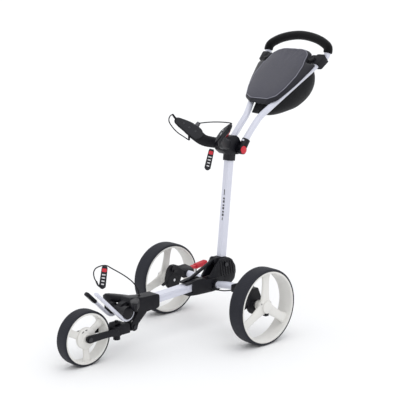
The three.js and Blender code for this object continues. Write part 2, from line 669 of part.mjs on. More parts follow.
function consoleTray() {
  const wall = [[76, 44], [140, 66], [205, 88], [285, 116], [322, 88], [344, 42]];
  const inner = [[80, 41], [141, 62], [205, 84], [284, 111], [318, 86], [340, 40]];
  return topSlab(slopeOutline(wall), -10, 13.5, 4).subtract(topSlab(slopeOutline(inner), -12, 15, 4));
}

/** The net as a thick-walled basket, open at the top, in the shape that it hangs in. */
function consoleNet() {
  const profile = [
    [-326, -10.5], [-332, -60], [-320, -104], [-280, -134], [-235, -142], [-170, -126], [-110, -92],
    [-60, -50], [-32, -16], [-76, -10.5]];
  const body = sideSlab(profile, -70, 70, 12);
  const taper = frontSlab([[-84, -9], [84, -9], [78, -80], [58, -146], [-58, -146], [-78, -80]],
    -340, -20, 10);
  const waist = topSlab([[-340, 100], [-250, 96], [-130, 56], [-20, 34], [-20, -34], [-130, -56],
    [-250, -96], [-340, -100]], -150, -5, 0);
  const whole = body.intersect(taper).intersect(waist);
  return whole.subtract(whole.scale([0.95, 0.93, 0.97]).translate([-9, 0, 3]));
}

/** A clamp round a handle tube, with a plate that reaches in under the knob. */
function tubeClamp() {
  const block = topSlab([[-336, 128], [-290, 122], [-290, 158], [-336, 166]], -17, 20, 5);
  const plate = topSlab([[-330, 106], [-288, 104], [-288, 140], [-330, 140]], 14.3, 20, 5);
  return join(block, plate).subtract(handleClearance().translate([-HANDLE_BEND.x, 0, -HANDLE_BEND.z])
    .rotate([0, -HANDLE_SLOPE, 0]));
}

function consoleKnob() {
  return rod(KNOB.radius, [-KNOB.s, KNOB.y, 20 + GAP], [-KNOB.s, KNOB.y, 30], 20);
}

// ---------- cords and pull tags ----------
const LOWER_CORD = [
  [370, 0, 192], [370.5, 0, 206], [377, 1, 226], [398, 1, 256], [430, 0, 284], [468, 0, 310],
  [500, 2, 330], [519, 5, 342], [533, 5, 346], [547, 0, 345], [560, -8, 338], [565, -14, 325],
  [562, -16, 303], [553, -16, 286]];
const UPPER_CORD = [
  [110, -70, 540], [100, -20, 549], [94, 30, 554], [98, 80, 556], [112, 108, 556]];
const UPPER_LOOP = [
  [168, -158, 566], [180, -160, 556], [184, -158, 540], [178, -148, 522], [168, -124, 500],
  [155, -96, 484], [146, -78, 474]];

function cord(points, steps) {
  return tube(smooth(points), 2.2, 0, steps, 8);
}

function pullTag(width, length) {
  return sideSlab(box2(-width / 2, width / 2, -length, 0), -1.8, 1.8, 5);
}

// ---------- everything in its place ----------
addPart('main_beam', beamSolid(0, BEAM.rear, BEAM.front, true), WHITE_PAINT);
addPart('cross_tube', tube(crossCurve, CROSS_TUBE.radius, CROSS_TUBE.bore, 14), WHITE_PAINT);
addPart('central_housing', centralHousing(), BLACK_PLASTIC);
addPart('hinge_bracket', hingeBracket(), BLACK_PLASTIC);
addPart('upright_pivot_pin', crossBolt(UPRIGHT.pivotX, UPRIGHT.pivotZ, 29, 5), STEEL);
addPart('front_housing', frontHousing(), BLACK_PLASTIC);
addPart('fork_pivot_pin', crossBolt(FORK_PIVOT.x, FORK_PIVOT.z, 24, 4.5), STEEL);
addPart('bag_bar_left', bagBar(BAG_BAR.y, 1), WHITE_PAINT);
addPart('bag_bar_right', bagBar(-BAG_BAR.y, 0.5), WHITE_PAINT);
addPart('bag_bar_cap', bagBarCap(), BLACK_PLASTIC);

addPart('arm_bracket_left', armBracket(), BLACK_PLASTIC);
addPart('arm_bracket_right', mirrored(armBracket()).add(brakeLug()), BLACK_PLASTIC);
addPair('hub_carrier', hubCarrier(), BLACK_PLASTIC);
addPair('rear_axle', rearAxle(), STEEL);
addPart('brake_pedal', brakePedal(), RED_PLASTIC);
addPart('brake_cable', tube(brakeCurve, BRAKE_CABLE, 0, 24, 6), CORD_BLACK);
addRearWheel(1);
addRearWheel(-1);

addPart('fork_block', forkBlock(), BLACK_PLASTIC);
addPart('front_fork', frontFork(), BLACK_PLASTIC);
addPart('tracking_knob', trackingKnob(), BLACK_PLASTIC);
addPart('front_axle', crossBolt(WHEELBASE, FRONT.radius, 39, 5), STEEL);
addFrontWheel();

addPart('upright_tube', uprightTube(0, 28, 474, true), WHITE_PAINT, upright);
addPart('upright_foot', uprightFoot(), BLACK_PLASTIC, upright);
addPart('brace', brace(), BLACK_PLASTIC, upright);
addPart('upper_housing', upperHousing(), BLACK_PLASTIC, upright);
addPair('bag_wing', bagWing(), BLACK_PLASTIC, upright);
addPart('release_lever', releaseLever(), RED_PLASTIC, upright);
addPart('upper_bungee', cord(UPPER_CORD, 16), CORD_BLACK, upright);
addPart('upper_loop', cord(UPPER_LOOP, 16), CORD_BLACK, upright);
addPart('upper_pull_tag', pullTag(25, 88).rotate([0, -14, -43]).translate([68, -30, 445]), BLACK_PLASTIC, upright);

addPart('handle_pivot_bolt', crossBolt(handlePivot.x, handlePivot.z, 37.7, 5), STEEL);
addPair('handle_yoke', handleYoke(), BLACK_PLASTIC);
addPair('pivot_cap', pivotCap(), RED_PLASTIC);
addPart('handle_tube', tube(handleCurve, HANDLE_TUBE.radius, HANDLE_TUBE.bore, handleSteps), WHITE_PAINT);
addPart('foam_grip', tube(gripCurve, GRIP.outer, GRIP.inner, gripPoints.length - 1), FOAM);
addPart('console_lid', consoleLid(), CONSOLE_GREY, consoleFrame);
addPart('console_tray', consoleTray(), BLACK_PLASTIC, consoleFrame);
addPart('console_net', consoleNet(), NET_BLACK, consoleFrame);
addPair('tube_clamp', tubeClamp(), BLACK_PLASTIC, consoleFrame);
addPair('console_knob', consoleKnob(), BLACK_PLASTIC, consoleFrame);

addPart('lower_bungee', cord(LOWER_CORD, 28), CORD_BLACK);
addPart('lower_pull_tag', pullTag(25, 84).rotate([0, -8, -43]).translate([526, 0, 341]), BLACK_PLASTIC);

// ---------- origin: the middle of the footprint, on the ground ----------
const extent = new THREE.Box3().setFromObject(trolley, true);
trolley.position.x = -(extent.min.x + extent.max.x) / 2;
trolley.position.z = -extent.min.z;

export default trolley;
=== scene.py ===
"""Looks for the golf push trolley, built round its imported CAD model.

Metres, +X forwards, +Y to the left, +Z up. Most places are written in millimetres in one of three
frames that the CAD uses too: from the rear axle, up the upright, and up the slope of the console.
"""
import json
import math

import bmesh
import bpy
from mathutils import Matrix, Vector, noise


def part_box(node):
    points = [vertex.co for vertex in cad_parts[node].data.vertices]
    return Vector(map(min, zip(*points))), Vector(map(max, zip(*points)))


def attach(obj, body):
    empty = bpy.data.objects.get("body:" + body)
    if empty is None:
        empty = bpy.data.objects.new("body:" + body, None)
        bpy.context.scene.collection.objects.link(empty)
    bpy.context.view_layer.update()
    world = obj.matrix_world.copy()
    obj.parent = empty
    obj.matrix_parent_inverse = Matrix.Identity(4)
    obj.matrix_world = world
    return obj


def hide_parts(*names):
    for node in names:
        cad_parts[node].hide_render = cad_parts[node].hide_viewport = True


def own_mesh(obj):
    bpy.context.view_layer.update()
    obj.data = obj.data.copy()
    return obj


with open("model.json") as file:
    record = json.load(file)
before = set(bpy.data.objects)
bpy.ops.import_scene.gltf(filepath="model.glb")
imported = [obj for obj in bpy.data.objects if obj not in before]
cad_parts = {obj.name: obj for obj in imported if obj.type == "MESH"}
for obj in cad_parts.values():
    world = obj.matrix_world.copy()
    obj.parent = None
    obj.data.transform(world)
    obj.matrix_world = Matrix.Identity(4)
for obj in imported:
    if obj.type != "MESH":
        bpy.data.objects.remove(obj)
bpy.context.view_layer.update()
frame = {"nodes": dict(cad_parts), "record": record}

# ---------- the three frames ----------
tyre_low, tyre_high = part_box("rear_tyre_left")
AXLE_X = (tyre_low.x + tyre_high.x) / 2
LEAN = math.radians(5.92)
FOOT_X, FOOT_Z = -48, 250
SLOPE = math.radians(42.43)
BEND_X, BEND_Z = -217, 810
SIDES = (("left", 1), ("right", -1))


def at(x, y, z):
    """A place in millimetres from the rear axle, the middle plane and the ground."""
    return Vector((AXLE_X + x / 1000, y / 1000, z / 1000))


def on_upright(p, y, q):
    """A place p in front of the upright's middle line and q up it from its fold pivot."""
    return at(FOOT_X + p * math.cos(LEAN) - q * math.sin(LEAN), y,
              FOOT_Z + p * math.sin(LEAN) + q * math.cos(LEAN))


def on_slope(s, y, n):
    """A place s up the console's slope and n out of its plane."""
    return at(BEND_X - s * math.cos(SLOPE) + n * math.sin(SLOPE), y,
              BEND_Z + s * math.sin(SLOPE) + n * math.cos(SLOPE))


# ---------- camera ----------
CAMERA_AZIMUTH = math.radians(136.761)
CAMERA_ELEVATION = math.radians(11.299)
camera = bpy.data.objects.new("camera", bpy.data.cameras.new("camera"))
camera.data.lens = 94.75
camera.data.sensor_width = 36
camera.location = at(2751.95, 2858.45, 1300.68)
towards_camera = Vector((
    math.sin(CAMERA_AZIMUTH) * math.cos(CAMERA_ELEVATION),
    -math.cos(CAMERA_AZIMUTH) * math.cos(CAMERA_ELEVATION),
    math.sin(CAMERA_ELEVATION)))
camera.rotation_mode = "QUATERNION"
camera.rotation_quaternion = (-towards_camera).to_track_quat("-Z", "Y")
bpy.context.scene.collection.objects.link(camera)
bpy.context.scene.camera = camera


# ---------- lines and solids ----------
def route(points, per=8):
    """Points along the centripetal Catmull-Rom curve that the CAD's swept parts follow."""
    ends = [2 * points[0] - points[1], *points, 2 * points[-1] - points[-2]]
    found = []
    for a, b, c, d in zip(ends, ends[1:], ends[2:], ends[3:]):
        ab, bc, cd = ((v - u).length ** 0.5 for u, v in ((a, b), (b, c), (c, d)))
        leave = bc * ((b - a) / ab - (c - a) / (ab + bc) + (c - b) / bc)
        reach = bc * ((c - b) / bc - (d - b) / (bc + cd) + (d - c) / cd)
        for i in range(per):
            t = i / per
            found.append(b * (2 * t ** 3 - 3 * t ** 2 + 1) + leave * (t ** 3 - 2 * t ** 2 + t)
                         + c * (3 * t ** 2 - 2 * t ** 3) + reach * (t ** 3 - t ** 2))
    return [*found, points[-1]]


def line(name, points, radius):
    """A round bar along points, as a curve."""
    data = bpy.data.curves.new(name, "CURVE")
    data.dimensions = "3D"
    data.bevel_depth = radius
    data.bevel_resolution = 5
    data.use_fill_caps = True
    spline = data.splines.new("POLY")
    spline.points.add(len(points) - 1)
    for place, point in zip(spline.points, points):
        place.co = (*point, 1)
    spline.use_smooth = True
    obj = bpy.data.objects.new(name, data)
    bpy.context.scene.collection.objects.link(obj)
    return obj


def loft(bm, rings, loop=False, capped=True):
    """Skins rings of equal numbers of points, in order. loop joins the last ring to the first."""
    grid = [[bm.verts.new(point) for point in ring] for ring in rings]
    pairs = list(zip(grid, grid[1:]))
    if loop:
        pairs.append((grid[-1], grid[0]))
    for one, two in pairs:
        for i in range(len(one)):
            j = (i + 1) % len(one)
            bm.faces.new((one[i], one[j], two[j], two[i]))
    if capped and not loop:
        bm.faces.new(grid[0])
        bm.faces.new(grid[-1])


def revolve(bm, profile, centre, segments=128, ripple=None):
    """Turns a closed profile of (radius, y) round the Y axis through centre, all in millimetres."""
    rings = []
    for k in range(segments):
        angle = 2 * math.pi * k / segments
        ring = []
        for radius, y in profile:
            r = radius + (ripple(angle, y, radius) if ripple else 0)
            ring.append(centre + Vector((r * math.cos(angle), y, r * math.sin(angle))) / 1000)
        rings.append(ring)
    loft(bm, rings, loop=True)


def solid(name, bm, sharp=35):
    """Makes an object of the mesh, smooth except along edges sharper than an angle in degrees."""
    bmesh.ops.remove_doubles(bm, verts=bm.verts, dist=1e-6)
    bmesh.ops.recalc_face_normals(bm, faces=bm.faces)
    mesh = bpy.data.meshes.new(name)
    bm.to_mesh(mesh)
    bm.free()
    mesh.shade_smooth()
    mesh.set_sharp_from_angle(angle=math.radians(sharp))
    obj = bpy.data.objects.new(name, mesh)
    bpy.context.scene.collection.objects.link(obj)
    return obj


def superellipse(width, height, power, count):
    """A closed outline between an ellipse (power 2) and a box (a high power)."""
    outline = []
    for k in range(count):
        c, s = math.cos(2 * math.pi * k / count), math.sin(2 * math.pi * k / count)
        outline.append((math.copysign(abs(c) ** (2 / power), c) * width / 2,
                        math.copysign(abs(s) ** (2 / power), s) * height / 2))
    return outline


def sweep(bm, section, points, across):
    """Carries a section in metres along points. across is where its first axis lies."""
    rings = []
    for k, point in enumerate(points):
        ahead = (points[min(k + 1, len(points) - 1)] - points[max(k - 1, 0)]).normalized()
        u = (across - ahead * across.dot(ahead)).normalized()
        v = ahead.cross(u)
        rings.append([point + u * a + v * b for a, b in section])
    loft(bm, rings)


def piece(obj, body, look, stands_for=()):
    """Gives a new piece its material, the body that it rides on and the nodes that it replaces."""
    obj.data.materials.append(look)
    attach(obj, body)
    if stands_for:
        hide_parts(*stands_for)
    return obj


# ---------- materials ----------
def connect(tree, source, target):
    tree.links.new(source, target)


def node(tree, kind, **values):
    """A node with its properties, and its inputs by name where it has one of that name."""
    made = tree.nodes.new(kind)
    for key, value in values.items():
        label = key.replace("_", " ").title()
        if label in made.inputs:
            made.inputs[label].default_value = value
        else:
            setattr(made, key, value)
    return made


def shaded(colour, share):
    return (*[min(1.0, channel * share) for channel in colour], 1)


def material(name, colour, roughness, metallic=0.0, mottle=0.12, cloud=14, grain=700,
             depth=0.0001, worn=0.0, rounding=0.0008, pattern="noise", coat=0.0, sheen=0.0,
             stretch=(1, 1, 1), specular=0.5):
    """A surface with drifting colour, uneven gloss, a fine relief and edges worn paler.

    cloud and grain are the numbers of features to a metre, and depth and rounding are in metres.
    """
    made = bpy.data.materials.new(name)
    made.use_nodes = True
    tree = made.node_tree
    shader = tree.nodes["Principled BSDF"]
    shader.inputs["Metallic"].default_value = metallic
    shader.inputs["Coat Weight"].default_value = coat
    shader.inputs["Specular IOR Level"].default_value = specular
    shader.inputs["Coat Roughness"].default_value = 0.15
    shader.inputs["Sheen Weight"].default_value = sheen
    place = node(tree, "ShaderNodeTexCoord")
    scaled = node(tree, "ShaderNodeMapping", scale=stretch)
    connect(tree, place.outputs["Object"], scaled.inputs["Vector"])

    drift = node(tree, "ShaderNodeTexNoise", scale=cloud, detail=4.0)
    connect(tree, scaled.outputs[0], drift.inputs["Vector"])
    tone = node(tree, "ShaderNodeMix", data_type="RGBA")
    tone.inputs[6].default_value = shaded(colour, 1 - mottle)
    tone.inputs[7].default_value = shaded(colour, 1 + mottle)
    connect(tree, drift.outputs["Fac"], tone.inputs["Factor"])
    gloss = node(tree, "ShaderNodeMapRange")
    gloss.inputs["To Min"].default_value = max(0.05, roughness - 0.07)
    gloss.inputs["To Max"].default_value = min(1.0, roughness + 0.07)
    connect(tree, drift.outputs["Fac"], gloss.inputs["Value"])
    connect(tree, gloss.outputs[0], shader.inputs["Roughness"])

    rounded = node(tree, "ShaderNodeBevel", radius=rounding, samples=4)
    top = tone.outputs[2]
    if worn > 0:
        facing = node(tree, "ShaderNodeNewGeometry")
        turn = node(tree, "ShaderNodeVectorMath", operation="DOT_PRODUCT")
        connect(tree, rounded.outputs[0], turn.inputs[0])
        connect(tree, facing.outputs["Normal"], turn.inputs[1])
        edge = node(tree, "ShaderNodeMapRange")
        edge.inputs["From Min"].default_value = 0.99
        edge.inputs["From Max"].default_value = 0.85
        edge.inputs["To Max"].default_value = worn
        connect(tree, turn.outputs["Value"], edge.inputs["Value"])
        pale = node(tree, "ShaderNodeMix", data_type="RGBA")
        pale.inputs[7].default_value = shaded([c * 0.6 + 0.14 for c in colour], 1)
        connect(tree, edge.outputs[0], pale.inputs["Factor"])
        connect(tree, top, pale.inputs[6])
        top = pale.outputs[2]

    relief = relief_of(tree, pattern, scaled.outputs[0], grain)
    # Painted shade: the net's holes and the grooves between the foam's cells are darkened to about
    # a third of the colour, standing for the shade inside them.
    if pattern in ("net", "foam"):
        hole_shade = node(tree, "ShaderNodeMix", data_type="RGBA")
        hole_shade.inputs[7].default_value = shaded(colour, 0.35)
        dark = node(tree, "ShaderNodeMapRange")
        dark.inputs["From Min"].default_value = 0.45
        dark.inputs["From Max"].default_value = 0.1
        connect(tree, relief, dark.inputs["Value"])
        connect(tree, dark.outputs[0], hole_shade.inputs["Factor"])
        connect(tree, top, hole_shade.inputs[6])
        top = hole_shade.outputs[2]
    connect(tree, top, shader.inputs["Base Color"])
    bump = node(tree, "ShaderNodeBump", strength=0.6, distance=depth)
    connect(tree, relief, bump.inputs["Height"])
    connect(tree, rounded.outputs[0], bump.inputs["Normal"])
    connect(tree, bump.outputs[0], shader.inputs["Normal"])
    return made


def relief_of(tree, pattern, vector, grain):
    """The height of a pattern: moulded grain, woven threads, knitted net or foam cells."""
    if pattern == "weave":
        heights = []
        for axis in "XYZ":
            band = node(tree, "ShaderNodeTexWave", scale=grain / 6.5, distortion=0.6,
                        bands_direction=axis)
            band.inputs["Detail Scale"].default_value = 3
            connect(tree, vector, band.inputs["Vector"])
            heights.append(band.outputs["Fac"])
        total = heights[0]
        for other in heights[1:]:
            added = node(tree, "ShaderNodeMath", operation="ADD")
            connect(tree, total, added.inputs[0])
            connect(tree, other, added.inputs[1])
            total = added.outputs[0]
        return total
    if pattern in ("net", "foam"):
        cells = node(tree, "ShaderNodeTexVoronoi", scale=grain, feature="DISTANCE_TO_EDGE")
        connect(tree, vector, cells.inputs["Vector"])
        ridge = node(tree, "ShaderNodeMapRange")
        ridge.inputs["From Max"].default_value = 0.35
        if pattern == "net":
            ridge.inputs["To Min"].default_value = 1
            ridge.inputs["To Max"].default_value = 0
        connect(tree, cells.outputs["Distance"], ridge.inputs["Value"])
        return ridge.outputs[0]
    fine = node(tree, "ShaderNodeTexNoise", scale=grain, detail=3.0)
    connect(tree, vector, fine.inputs["Vector"])
    return fine.outputs["Fac"]


LOOKS = {
    "white_paint": material("powder_coat", (0.66, 0.67, 0.76), 0.34, mottle=0.03, grain=500,
                            depth=0.00003, coat=0.35),
    "white_plastic": material("white_moulding", (0.74, 0.73, 0.70), 0.42, mottle=0.04, cloud=9,
                              grain=900, depth=0.00003),
    "black_plastic": material("black_moulding", (0.0055, 0.0055, 0.0085), 0.42, specular=0.24,
                              mottle=0.25,
                              grain=1400, depth=0.00008, worn=0.55),
    "red_plastic": material("red_moulding", (0.60, 0.012, 0.030), 0.38, mottle=0.08, grain=900,
                            depth=0.00005, worn=0.25),
    "steel": material("zinc_plate", (0.62, 0.62, 0.64), 0.3, metallic=1.0, mottle=0.08,
                      grain=600, depth=0.00004, stretch=(1, 0.06, 1)),
    "tyre": material("tyre_rubber", (0.016, 0.017, 0.024), 0.62, specular=0.28,
                     mottle=0.3, cloud=22,
                     grain=1200, depth=0.00015, worn=0.3, rounding=0.0005),
    "foam": material("grip_foam", (0.003, 0.003, 0.004), 0.9, specular=0.12, mottle=0.2, grain=620,
                     depth=0.0003, pattern="foam", sheen=0.15),
    "console_skin": material("moulded_fabric", (0.034, 0.033, 0.052), 0.52, mottle=0.3, cloud=8,
                             grain=1500, depth=0.00012, pattern="weave", sheen=0.25),
    "net": material("knitted_net", (0.003, 0.003, 0.0045), 0.8, specular=0.12,
                    mottle=0.2, grain=330,
                    depth=0.0006, pattern="net", sheen=0.2),
    "cord": material("braided_cord", (0.012, 0.012, 0.014), 0.7, specular=0.28,
                     mottle=0.3, grain=900,
                     depth=0.0003, pattern="weave"),
    "webbing": material("strap_rubber", (0.018, 0.018, 0.022), 0.6, specular=0.28,
                        mottle=0.25, grain=900,
                        depth=0.0001, pattern="weave", worn=0.3),
}
PIPING = material("grey_piping", (0.25, 0.25, 0.30), 0.45, grain=900, depth=0.0001, pattern="weave")
MARK_WHITE = material("printed_white", (0.75, 0.75, 0.76), 0.5, mottle=0.05, grain=900)
# Dark grey for the mast's printed marks, and also painted shade for the front hub's slots.
PRINT_AND_SLOT_SHADE = material("print_and_slot_shade_grey", (0.05, 0.05, 0.06), 0.5, mottle=0.1, grain=900)
LOCK_GREY = material("grey_moulding", (0.10, 0.10, 0.11), 0.45, mottle=0.2, depth=0.00004)
DARK_STEEL = material("black_screw", (0.05, 0.05, 0.055), 0.35, metallic=0.8, grain=900)
FLANK = material("flank_fabric", (0.014, 0.014, 0.020), 0.6, specular=0.2,
                 mottle=0.2, cloud=10, grain=1500,
                 depth=0.00012, pattern="weave", sheen=0.2)


# ---------- free cords ----------
def cord_line(name, points, body, node_name):
    """Makes a cord along a route in the row frame, at the length of that route, and hides the CAD
    node that it stands for.
    """
    points = route(points, 8)
    obj = piece(line(name, points, CORD_RADIUS), body, LOOKS["cord"], (node_name,))
    return obj


CORD_RADIUS = 0.0022
LOWER_CORD = [
    (370, 0, 192), (370.5, 0, 206), (377, 1, 226), (398, 1, 256), (430, 0, 284), (468, 0, 310),
    (500, 2, 330), (519, 5, 342), (533, 5, 346), (547, 0, 345), (560, -8, 338), (565, -14, 325),
    (562, -16, 303), (553, -16, 286)]
UPPER_CORD = [(110, -70, 540), (100, -20, 549), (94, 30, 554), (98, 80, 556), (112, 108, 556)]
UPPER_LOOP = [
    (168, -158, 566), (180, -160, 556), (184, -158, 540), (178, -148, 522), (168, -124, 500),
    (155, -96, 484), (146, -78, 474)]

lower_points = [at(*p) for p in LOWER_CORD]
cord_line("lower_cord", lower_points, "chassis", "lower_bungee")
cord_line("upper_cord", [on_upright(*p) for p in UPPER_CORD], "upright", "upper_bungee")
cord_line("upper_cord_loop", [on_upright(*p) for p in UPPER_LOOP], "upright", "upper_loop")


# ---------- CAD nodes that keep their shape ----------
def tidy_shading():
    """A node group that joins the facets' corners and shades all but the sharp edges smooth."""
    group = bpy.data.node_groups.new("smooth_facets", "GeometryNodeTree")
    group.interface.new_socket("Geometry", in_out="INPUT", socket_type="NodeSocketGeometry")
    group.interface.new_socket("Geometry", in_out="OUTPUT", socket_type="NodeSocketGeometry")
    start = group.nodes.new("NodeGroupInput")
    weld = node(group, "GeometryNodeMergeByDistance", distance=0.00001)
    faces = node(group, "GeometryNodeSetShadeSmooth", domain="FACE")
    edges = node(group, "GeometryNodeSetShadeSmooth", domain="EDGE")
    edges.inputs["Shade Smooth"].default_value = False
    angle = node(group, "GeometryNodeInputMeshEdgeAngle")
    steep = node(group, "FunctionNodeCompare", operation="GREATER_THAN")
    steep.inputs["B"].default_value = math.radians(32)
    end = group.nodes.new("NodeGroupOutput")
    connect(group, start.outputs[0], weld.inputs["Geometry"])
    connect(group, weld.outputs[0], faces.inputs["Geometry"])
    connect(group, faces.outputs[0], edges.inputs["Geometry"])
    connect(group, angle.outputs["Unsigned Angle"], steep.inputs["A"])
    connect(group, steep.outputs[0], edges.inputs["Selection"])
    connect(group, edges.outputs[0], end.inputs[0])
    return group


smooth_facets = tidy_shading()
slot_of = {entry["node"]: entry["material_slot"] for entry in frame["record"]["subparts"]}
for name, obj in frame["nodes"].items():
    obj.data.materials.clear()
    obj.data.materials.append(LOOKS[slot_of[name]])
    if obj.data.has_custom_normals:
        with bpy.context.temp_override(object=obj, active_object=obj):
            bpy.ops.mesh.customdata_custom_splitnormals_clear()
    if slot_of[name] in ("black_plastic", "red_plastic") and name != "tracking_knob":
        weld = obj.modifiers.new("weld", "WELD")
        weld.merge_threshold = 0.00002
        rounding = obj.modifiers.new("rounding", "BEVEL")
        rounding.width = 0.0014
        rounding.segments = 2
        rounding.limit_method = "ANGLE"
        rounding.angle_limit = math.radians(34)
        rounding.use_clamp_overlap = True
    obj.modifiers.new("smooth_facets", "NODES").node_group = smooth_facets
for name in ("upright_pivot_pin", "fork_pivot_pin", "handle_pivot_bolt", "front_axle"):
    frame["nodes"][name].data.materials[0] = DARK_STEEL


# ---------- wheels ----------
REAR = {"radius": 145, "width": 66.7, "lip": 136, "seat": 132}
FRONT = {"radius": 100.5, "width": 52.5, "lip": 92.5, "seat": 89}


def tread(size, pitch=7.2):
    """A low diamond pattern over the running surface that fades out at the shoulders."""
    count = round(2 * math.pi * size["radius"] / pitch)
    half = size["width"] / 2

    def ripple(angle, y, radius):
        fade = max(0.0, 1 - (abs(y) / half) ** 8) if radius > size["lip"] + 3 else 0.0
        along = count * angle / 2
        across = math.pi * y / pitch
        return 0.45 * fade * math.sin(along + across) * math.sin(along - across)
    return ripple


def tyre(name, size, centre, body, stands_for):
    half = size["width"] / 2
    edge = size["lip"] + 0.3
    profile = [(size["seat"], -half + 4.6), (edge, -half + 3.4), (edge, -half + 0.6)]
    steps = 44
    for k in range(steps + 1):
        y = half * math.sin(math.pi * (k / steps - 0.5))
        drop = (1 - abs(y / half) ** 7) ** 0.4
        profile.append((edge + 1.2 + (size["radius"] - edge - 1.2) * drop, y))
    profile += [(edge, half - 0.6), (edge, half - 3.4), (size["seat"], half - 4.6)]
    bm = bmesh.new()
    revolve(bm, profile, centre, 512, tread(size))
    piece(solid(name, bm, 50), body, LOOKS["tyre"], (stands_for,))


def spoke(bm, size, centre, angle, side, hub, plane, widths, thick):
    """A rounded blade from the hub to the barrel. It widens at both ends."""
    start, end = hub - 6, size["seat"] - 2.5
    rings = []
    steps = 16
    for k in range(steps + 1):
        t = k / steps
        r = start + (end - start) * t
        root, middle, tip = widths
        width = middle + (root - middle) * (1 - t) ** 2.5 + (tip - middle) * t ** 4
        deep = thick * (1 + 0.5 * (1 - t) ** 3 + 0.5 * t ** 8)
        ring = []
        for a, b in superellipse(width, deep, 2.5, 24):
            x = r * math.cos(angle) - a * math.sin(angle)
            z = r * math.sin(angle) + a * math.cos(angle)
            ring.append(centre + Vector((x, side * (plane + b), z)) / 1000)
        rings.append(ring)
    loft(bm, rings)


def rim(name, size, centre, body, stands_for, angles, side, hub):
    """Barrel with rolled lips, hub and three spokes."""
    half = size["width"] / 2
    outer = size["seat"] - 0.3
    lip = size["lip"]
    edge = [(outer - 3.4, half - 2.2), (outer - 2.2, half - 0.7), (lip - 1.6, half - 0.5),
            (lip - 0.4, half - 1.1), (lip, half - 2.4), (outer, half - 4.2)]
    barrel = [(r, -y) for r, y in reversed(edge)] + [(outer - 4, -half + 6), (outer - 4, half - 6)]
    bm = bmesh.new()
    revolve(bm, barrel + edge, centre, 160)
    r = hub["radius"]
    boss = [(hub["bore"], hub["inner"]), (r - 5, hub["inner"]), (r, 0), (hub["plate"] - 4, 4),
            (hub["plate"], 7), (hub["plate"], 17), (hub["plate"] - 3, 19.5), (r + 2, 20.5),
            (r - 1, hub["outer"]), (hub["bore"], hub["outer"])]
    revolve(bm, [(a, side * b) for a, b in boss], centre, 96)
    for angle in angles:
        spoke(bm, size, centre, math.radians(angle), side, r, hub["plane"], hub["widths"],
              hub["thick"])
    piece(solid(name, bm, 40), body, LOOKS["white_plastic"], stands_for)


def disc(bm, centre, axis, radius, height, count=24, dome=0.0):
    """A short round boss standing on centre along axis, its rim eased, in metres."""
    side = axis.orthogonal().normalized()
    up = axis.cross(side)
    rings = []
    for share, rise in ((0.96, 0), (1, 0.12), (1, 0.8), (0.94, 1), (0.6, 1 + dome * 0.7),
                        (0.05, 1 + dome)):
        rings.append([centre + axis * height * rise + (side * math.cos(t) + up * math.sin(t))
                      * radius * share for t in (2 * math.pi * k / count for k in range(count))])
    loft(bm, rings)


REAR_HUB = {"bore": 13.5, "radius": 24, "plate": 31, "inner": -20, "outer": 24, "plane": 12,
            "widths": (46, 30, 44), "thick": 12}
REAR_ANGLES = {"left": (92, -28, -148), "right": (100, -20, -140)}
for name, side in SIDES:
    hub_centre = at(0, side * 270.5, 145)
    body = f"rear_wheel_{name}"
    tyre(f"rear_tread_{name}", REAR, hub_centre, body, f"rear_tyre_{name}")
    rim(f"rear_wheel_rim_{name}", REAR, hub_centre, body, (f"rear_rim_{name}",),
        REAR_ANGLES[name], side, REAR_HUB)
    outwards = Vector((0, side, 0))
    bm = bmesh.new()
    disc(bm, hub_centre + outwards * 0.0243, outwards, 0.0235, 0.005, 48, dome=0.5)
    piece(solid(f"hub_cover_{name}", bm), body, LOOKS["white_plastic"],
          (f"hub_cap_{name}",))
    bm = bmesh.new()
    for angle in (30, 150, 270):
        t = math.radians(angle + REAR_ANGLES[name][0] - 90)
        place = hub_centre + Vector((math.cos(t), 0, math.sin(t))) * 0.0272
        disc(bm, place + outwards * 0.0195, outwards, 0.0026, 0.0012, 16, dome=-0.4)
    piece(solid(f"hub_screws_{name}", bm), body, DARK_STEEL)

front_centre = at(626, 0, 100.5)
FRONT_HUB = {"bore": 10, "radius": 17, "plate": 39, "inner": -24, "outer": 24, "plane": 7,
             "widths": (36, 23, 36), "thick": 10}
tyre("front_tread", FRONT, front_centre, "front_wheel", "front_tyre")
rim("front_wheel_rim", FRONT, front_centre, "front_wheel", ("front_rim",), (26, 146, 266), 1,
    FRONT_HUB)
# Painted shade: two thin dark grey pads on the front hub's outer face stand for its slots, their
# colour standing for the shade inside the openings.
bm = bmesh.new()
for angle, reach in ((58, 0.0315), (86, 0.0315)):
    t = math.radians(angle)
    middle = front_centre + Vector((math.cos(t), 0, math.sin(t))) * reach
    rings = []
    for y in (0.0192, 0.0204):
        rings.append([middle + Vector((-math.sin(t) * a + math.cos(t) * b, y,
                                       math.cos(t) * a + math.sin(t) * b)) / 1
                      for a, b in superellipse(0.010, 0.0034, 2.5, 20)])
    loft(bm, rings)
piece(solid("front_rim_slot_shade", bm), "front_wheel", PRINT_AND_SLOT_SHADE)


# ---------- tubes ----------
CROSS = [(0, -150, 188.5), (0, -100, 187.5), (0, -60, 182.5), (0, -22, 176), (0, 22, 176),
         (0, 60, 182.5), (0, 100, 187.5), (0, 150, 188.5)]
piece(line("axle_arms", route([at(*p) for p in CROSS]), 0.014), "chassis", LOOKS["white_paint"],
      ("cross_tube",))
CABLE = [(20, 131, 180), (28, 96, 172), (29, 60, 168), (27, 30, 162), (20, 0, 157.5),
         (0, -36, 155.5), (-22, -62, 166), (-27, -100, 185), (-20, -131, 194)]
piece(line("brake_hose", route([at(*p) for p in CABLE]), 0.0024), "chassis", LOOKS["cord"],
      ("brake_cable",))

